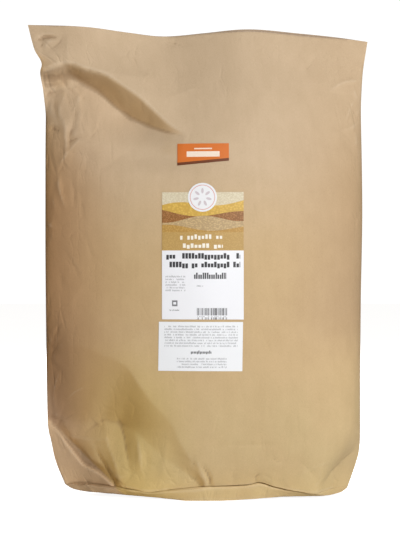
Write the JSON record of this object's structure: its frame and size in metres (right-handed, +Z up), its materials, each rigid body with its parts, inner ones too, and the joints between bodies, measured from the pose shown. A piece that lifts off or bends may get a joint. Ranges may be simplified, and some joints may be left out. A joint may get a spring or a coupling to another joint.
{
  "type": "closed paper sack of rice",
  "caption": "Tall kraft paper sack filled with rice, mouth pinched flat, standing on its pasted hexagonal bottom, with paper labels on the front.",
  "frame": {"origin": "on the floor under the middle of the sack, at the bottom centre of its bounding box", "axes": "+Z up, the labelled front faces -Y, +X to the right when facing the front"},
  "size_m": [0.51, 0.175, 0.705],
  "materials": {
    "sack": "matt brown kraft paper, lightly creased",
    "orange_label": "satin printed paper",
    "main_label": "satin printed paper",
    "lower_label": "satin printed paper",
    "round_badge": "satin printed paper"
  },
  "bodies": {
    "root": {"sack": "sack", "orange_label": "orange_label", "main_label": "main_label", "lower_label": "lower_label", "round_badge": "round_badge"}
  },
  "joints": []
}
